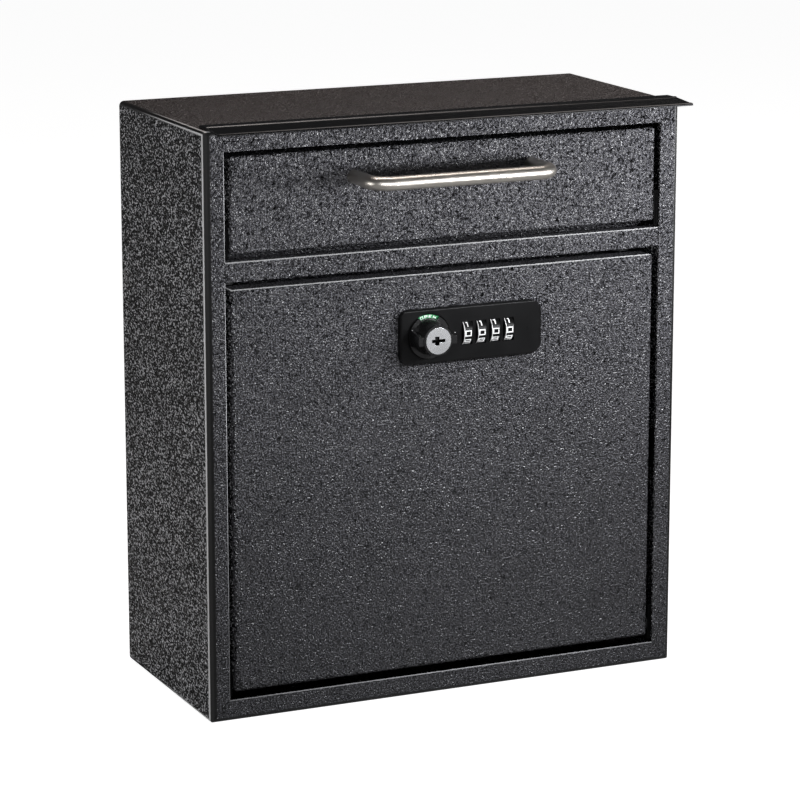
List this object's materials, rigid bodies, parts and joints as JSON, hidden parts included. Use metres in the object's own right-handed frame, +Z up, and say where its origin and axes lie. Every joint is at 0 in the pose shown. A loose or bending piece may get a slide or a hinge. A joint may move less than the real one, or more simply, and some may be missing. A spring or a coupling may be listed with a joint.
{
  "type": "parcel drop box",
  "caption": "Steel parcel drop box with a pull-down hopper flap and tray above, and a bottom-hinged access door with a combination and key lock below.",
  "frame": {"origin": "centre of the overall box in X and Y, at the cabinet's base", "axes": "+Z up, the front face looks along -Y, +X to the right seen from the front"},
  "size_m": [0.258, 0.1474, 0.2968],
  "materials": {
    "paint": "pebbled charcoal powder coat",
    "paint_inner": "charcoal powder coat, plain",
    "gloss_black": "gloss black",
    "zinc": "zinc plated",
    "black_steel": "black dip coat",
    "rubber": "matte black",
    "nylon": "matte black",
    "brushed": "brushed, slightly warm",
    "lock_black": "satin black",
    "plug_chrome": "satin chrome",
    "dial_black": "satin black",
    "print_white": "printed white",
    "print_green": "printed green",
    "print_red": "printed red"
  },
  "bodies": {
    "cabinet": {"wrapper": "paint", "back_panel": "paint_inner", "mullion": "paint", "rain_lip": "gloss_black", "fishing_baffle": "paint_inner", "hopper_bracket_left": "black_steel", "hopper_bracket_right": "black_steel", "hopper_bumpers": "rubber", "door_bracket_left": "black_steel", "door_bracket_right": "black_steel", "door_stop_left": "black_steel", "door_stop_right": "black_steel", "door_bumpers": "rubber"},
    "hopper": {"hopper_flap": "paint", "hopper_tray": "paint_inner", "hopper_cheeks": "paint_inner", "hopper_pins": "zinc", "hopper_washers": "nylon", "pull_handle": "brushed", "handle_screws": "zinc"},
    "door": {"door_panel": "paint", "door_pins": "zinc", "door_washers": "nylon", "lock_escutcheon": "lock_black", "lock_housing": "lock_black", "lock_screws": "zinc", "dial_axle": "zinc", "detent_spring": "zinc"},
    "knob": {"lock_knob": "lock_black", "cam_spindle": "zinc", "lock_cam": "zinc", "cam_washer": "zinc", "cam_screw": "zinc"},
    "key": {"key_plug": "plug_chrome"},
    "wheel_1": {"dial_1": "dial_black"},
    "wheel_2": {"dial_2": "dial_black"},
    "wheel_3": {"dial_3": "dial_black"},
    "wheel_4": {"dial_4": "dial_black"}
  },
  "joints": [
    {"name": "hopper_hinge", "type": "hinge", "parent": "cabinet", "child": "hopper", "pos_m": [0, -0.03675, 0.241], "axis": [1, 0, 0], "range_deg": [0, 50]},
    {"name": "door_hinge", "type": "hinge", "parent": "cabinet", "child": "door", "pos_m": [0, -0.03675, 0.0204], "axis": [1, 0, 0], "range_deg": [0, 88]},
    {"name": "knob_turn", "type": "hinge", "parent": "door", "child": "knob", "pos_m": [-0.0119, -0.04275, 0.1862], "axis": [0, 1, 0], "range_deg": [0, 90]},
    {"name": "key_turn", "type": "hinge", "parent": "knob", "child": "key", "pos_m": [-0.0119, -0.05475, 0.1862], "axis": [0, 1, 0], "range_deg": [0, 90]},
    {"name": "wheel_1_turn", "type": "hinge", "parent": "door", "child": "wheel_1", "pos_m": [0.0092, -0.04025, 0.1862], "axis": [1, 0, 0], "continuous": true},
    {"name": "wheel_2_turn", "type": "hinge", "parent": "door", "child": "wheel_2", "pos_m": [0.01685, -0.04025, 0.1862], "axis": [1, 0, 0], "continuous": true},
    {"name": "wheel_3_turn", "type": "hinge", "parent": "door", "child": "wheel_3", "pos_m": [0.0245, -0.04025, 0.1862], "axis": [1, 0, 0], "continuous": true},
    {"name": "wheel_4_turn", "type": "hinge", "parent": "door", "child": "wheel_4", "pos_m": [0.03215, -0.04025, 0.1862], "axis": [1, 0, 0], "continuous": true}
  ]
}
